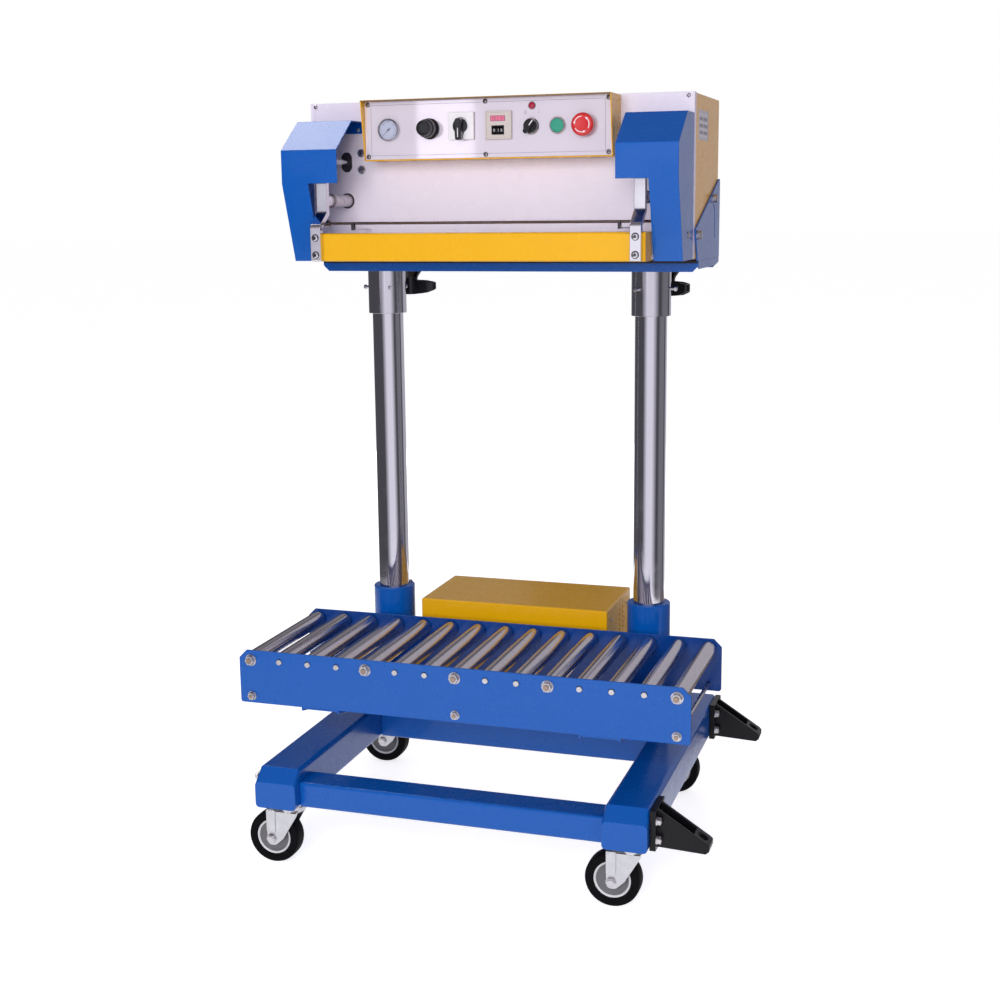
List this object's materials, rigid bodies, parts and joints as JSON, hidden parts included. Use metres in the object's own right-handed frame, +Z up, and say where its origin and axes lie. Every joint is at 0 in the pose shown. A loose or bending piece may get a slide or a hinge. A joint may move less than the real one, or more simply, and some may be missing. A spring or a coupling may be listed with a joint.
{
  "type": "upright heat sealer",
  "caption": "Upright bag heat sealer with a roller table, a height-adjustable head on twin columns, a swinging jaw, a switch panel and swivel casters.",
  "frame": {"origin": "on the floor under the middle of the machine's outline", "axes": "+X to the right seen from the operator's side, +Y towards the back, +Z up along the columns"},
  "size_m": [0.887, 0.684, 1.3965],
  "materials": {
    "blue_paint": "glossy blue powder coat",
    "yellow_paint": "glossy yellow powder coat",
    "white_paint": "glossy white powder coat",
    "polished_steel": "ground and polished steel",
    "roller_steel": "zinc plated tube",
    "zinc_steel": "zinc plated",
    "caster_steel": "pressed and galvanised",
    "wheel_black": "dark moulded tread on a grey hub",
    "aluminium": "extruded and machined",
    "panel_white": "silver-white faced sheet",
    "instrument_mix": "switch bodies, bezels and a pressure dial",
    "black_plastic": "moulded black plastic",
    "lever_black": "black glass-filled plastic",
    "bracket_black": "cast and painted black",
    "green_plastic": "moulded green plastic",
    "red_plastic": "moulded red plastic",
    "jaw_metal": "machined bar with a silicone pad",
    "fixed_jaw_metal": "machined bar with a heating band"
  },
  "bodies": {
    "base_frame": {"side_legs": "blue_paint", "cross_beams": "blue_paint", "column_sockets": "blue_paint", "columns": "polished_steel", "conveyor_front_plate": "blue_paint", "conveyor_rear_plate": "blue_paint", "roller_axles": "zinc_steel", "tie_bolts": "zinc_steel", "caster_plates": "caster_steel", "foot_brackets": "bracket_black", "frame_bolts": "zinc_steel", "power_box": "yellow_paint"},
    "head": {"head_tray": "blue_paint", "side_gussets": "blue_paint", "column_sleeves": "polished_steel", "head_screws": "zinc_steel", "front_plate": "white_paint", "head_cover": "yellow_paint", "arm_shrouds": "blue_paint", "control_box": "yellow_paint", "control_panel": "panel_white", "panel_instruments": "instrument_mix", "fixed_jaw": "fixed_jaw_metal", "air_cylinders": "aluminium", "pivot_blocks": "zinc_steel"},
    "swing_jaw": {"swing_arms": "polished_steel", "jaw_bar": "jaw_metal", "jaw_cover": "yellow_paint"},
    "rods": {"piston_rods": "polished_steel"},
    "roller_01": {"roller_01": "roller_steel"},
    "roller_02": {"roller_02": "roller_steel"},
    "roller_03": {"roller_03": "roller_steel"},
    "roller_04": {"roller_04": "roller_steel"},
    "roller_05": {"roller_05": "roller_steel"},
    "roller_06": {"roller_06": "roller_steel"},
    "roller_07": {"roller_07": "roller_steel"},
    "roller_08": {"roller_08": "roller_steel"},
    "roller_09": {"roller_09": "roller_steel"},
    "roller_10": {"roller_10": "roller_steel"},
    "roller_11": {"roller_11": "roller_steel"},
    "roller_12": {"roller_12": "roller_steel"},
    "roller_13": {"roller_13": "roller_steel"},
    "roller_14": {"roller_14": "roller_steel"},
    "roller_15": {"roller_15": "roller_steel"},
    "fork_front_left": {"caster_fork_front_left": "caster_steel"},
    "wheel_front_left": {"caster_wheel_front_left": "wheel_black"},
    "fork_front_right": {"caster_fork_front_right": "caster_steel"},
    "wheel_front_right": {"caster_wheel_front_right": "wheel_black"},
    "fork_rear_left": {"caster_fork_rear_left": "caster_steel"},
    "wheel_rear_left": {"caster_wheel_rear_left": "wheel_black"},
    "fork_rear_right": {"caster_fork_rear_right": "caster_steel"},
    "wheel_rear_right": {"caster_wheel_rear_right": "wheel_black"},
    "regulator_knob": {"regulator_knob": "black_plastic"},
    "cam_knob": {"cam_knob": "black_plastic"},
    "selector_knob": {"selector_knob": "black_plastic"},
    "timer_wheel": {"timer_wheel": "black_plastic"},
    "start_button": {"start_button": "green_plastic"},
    "stop_button": {"stop_button": "red_plastic"},
    "left_clamp_lever": {"left_clamp_lever": "lever_black"},
    "right_clamp_lever": {"right_clamp_lever": "lever_black"}
  },
  "joints": [
    {"name": "swivel_front_left", "type": "hinge", "parent": "base_frame", "child": "fork_front_left", "pos_m": [-0.3455, -0.272, 0.119], "axis": [0, 0, 1], "continuous": true},
    {"name": "wheel_front_left_spin", "type": "hinge", "parent": "fork_front_left", "child": "wheel_front_left", "pos_m": [-0.3795, -0.272, 0.05], "axis": [0, 1, 0], "continuous": true},
    {"name": "swivel_front_right", "type": "hinge", "parent": "base_frame", "child": "fork_front_right", "pos_m": [0.3045, -0.272, 0.119], "axis": [0, 0, 1], "continuous": true},
    {"name": "wheel_front_right_spin", "type": "hinge", "parent": "fork_front_right", "child": "wheel_front_right", "pos_m": [0.2705, -0.272, 0.05], "axis": [0, 1, 0], "continuous": true},
    {"name": "swivel_rear_left", "type": "hinge", "parent": "base_frame", "child": "fork_rear_left", "pos_m": [-0.3455, 0.273, 0.119], "axis": [0, 0, 1], "continuous": true},
    {"name": "wheel_rear_left_spin", "type": "hinge", "parent": "fork_rear_left", "child": "wheel_rear_left", "pos_m": [-0.3795, 0.273, 0.05], "axis": [0, 1, 0], "continuous": true},
    {"name": "swivel_rear_right", "type": "hinge", "parent": "base_frame", "child": "fork_rear_right", "pos_m": [0.3045, 0.273, 0.119], "axis": [0, 0, 1], "continuous": true},
    {"name": "wheel_rear_right_spin", "type": "hinge", "parent": "fork_rear_right", "child": "wheel_rear_right", "pos_m": [0.2705, 0.273, 0.05], "axis": [0, 1, 0], "continuous": true},
    {"name": "head_height", "type": "slide", "parent": "base_frame", "child": "head", "axis": [0, 0, 1], "range_m": [-0.2, 0.07]},
    {"name": "jaw_swing", "type": "hinge", "parent": "head", "child": "swing_jaw", "pos_m": [-0.0205, -0.101, 1.217], "axis": [1, 0, 0], "range_deg": [0, 8], "stiffness_Nm_per_rad": 8, "springref_deg": -22.92},
    {"name": "rod_stroke", "type": "slide", "parent": "head", "child": "rods", "axis": [0, -1, 0], "range_m": [0, 0.01]},
    {"name": "regulator_turn", "type": "hinge", "parent": "head", "child": "regulator_knob", "pos_m": [-0.1258, -0.07, 1.342], "axis": [0, 1, 0], "continuous": true},
    {"name": "cam_switch_turn", "type": "hinge", "parent": "head", "child": "cam_knob", "pos_m": [-0.0647, -0.07, 1.3454], "axis": [0, 1, 0], "range_deg": [-90, 90]},
    {"name": "selector_turn", "type": "hinge", "parent": "head", "child": "selector_knob", "pos_m": [0.0649, -0.07, 1.342], "axis": [0, 1, 0], "range_deg": [-74, 0]},
    {"name": "timer_wheel_turn", "type": "hinge", "parent": "head", "child": "timer_wheel", "pos_m": [0.004, -0.0568, 1.3366], "axis": [1, 0, 0], "continuous": true},
    {"name": "start_press", "type": "slide", "parent": "head", "child": "start_button", "axis": [0, 1, 0], "range_m": [0, 0.003], "stiffness_N_per_m": 400, "springref_m": -0.002},
    {"name": "stop_press", "type": "slide", "parent": "head", "child": "stop_button", "axis": [0, 1, 0], "range_m": [0, 0.004], "stiffness_N_per_m": 500, "springref_m": -0.002},
    {"name": "left_lever_turn", "type": "hinge", "parent": "head", "child": "left_clamp_lever", "pos_m": [-0.278, 0.217, 1.06], "axis": [0, 0, 1], "range_deg": [-90, 90]},
    {"name": "right_lever_turn", "type": "hinge", "parent": "head", "child": "right_clamp_lever", "pos_m": [0.253, 0.217, 1.06], "axis": [0, 0, 1], "range_deg": [-60, 90]},
    {"name": "roller_01_spin", "type": "hinge", "parent": "base_frame", "child": "roller_01", "pos_m": [-0.4195, -0.117, 0.386], "axis": [0, 1, 0], "continuous": true},
    {"name": "roller_02_spin", "type": "hinge", "parent": "base_frame", "child": "roller_02", "pos_m": [-0.3625, -0.117, 0.386], "axis": [0, 1, 0], "continuous": true},
    {"name": "roller_03_spin", "type": "hinge", "parent": "base_frame", "child": "roller_03", "pos_m": [-0.3055, -0.117, 0.386], "axis": [0, 1, 0], "continuous": true},
    {"name": "roller_04_spin", "type": "hinge", "parent": "base_frame", "child": "roller_04", "pos_m": [-0.2485, -0.117, 0.386], "axis": [0, 1, 0], "continuous": true},
    {"name": "roller_05_spin", "type": "hinge", "parent": "base_frame", "child": "roller_05", "pos_m": [-0.1915, -0.117, 0.386], "axis": [0, 1, 0], "continuous": true},
    {"name": "roller_06_spin", "type": "hinge", "parent": "base_frame", "child": "roller_06", "pos_m": [-0.1345, -0.117, 0.386], "axis": [0, 1, 0], "continuous": true},
    {"name": "roller_07_spin", "type": "hinge", "parent": "base_frame", "child": "roller_07", "pos_m": [-0.0775, -0.117, 0.386], "axis": [0, 1, 0], "continuous": true},
    {"name": "roller_08_spin", "type": "hinge", "parent": "base_frame", "child": "roller_08", "pos_m": [-0.0205, -0.117, 0.386], "axis": [0, 1, 0], "continuous": true},
    {"name": "roller_09_spin", "type": "hinge", "parent": "base_frame", "child": "roller_09", "pos_m": [0.0365, -0.117, 0.386], "axis": [0, 1, 0], "continuous": true},
    {"name": "roller_10_spin", "type": "hinge", "parent": "base_frame", "child": "roller_10", "pos_m": [0.0935, -0.117, 0.386], "axis": [0, 1, 0], "continuous": true},
    {"name": "roller_11_spin", "type": "hinge", "parent": "base_frame", "child": "roller_11", "pos_m": [0.1505, -0.117, 0.386], "axis": [0, 1, 0], "continuous": true},
    {"name": "roller_12_spin", "type": "hinge", "parent": "base_frame", "child": "roller_12", "pos_m": [0.2075, -0.117, 0.386], "axis": [0, 1, 0], "continuous": true},
    {"name": "roller_13_spin", "type": "hinge", "parent": "base_frame", "child": "roller_13", "pos_m": [0.2645, -0.117, 0.386], "axis": [0, 1, 0], "continuous": true},
    {"name": "roller_14_spin", "type": "hinge", "parent": "base_frame", "child": "roller_14", "pos_m": [0.3215, -0.117, 0.386], "axis": [0, 1, 0], "continuous": true},
    {"name": "roller_15_spin", "type": "hinge", "parent": "base_frame", "child": "roller_15", "pos_m": [0.3785, -0.117, 0.386], "axis": [0, 1, 0], "continuous": true}
  ],
  "couplings": [
    {"joint": "rod_stroke", "follows": "jaw_swing", "m_per_rad": 0.071}
  ]
}
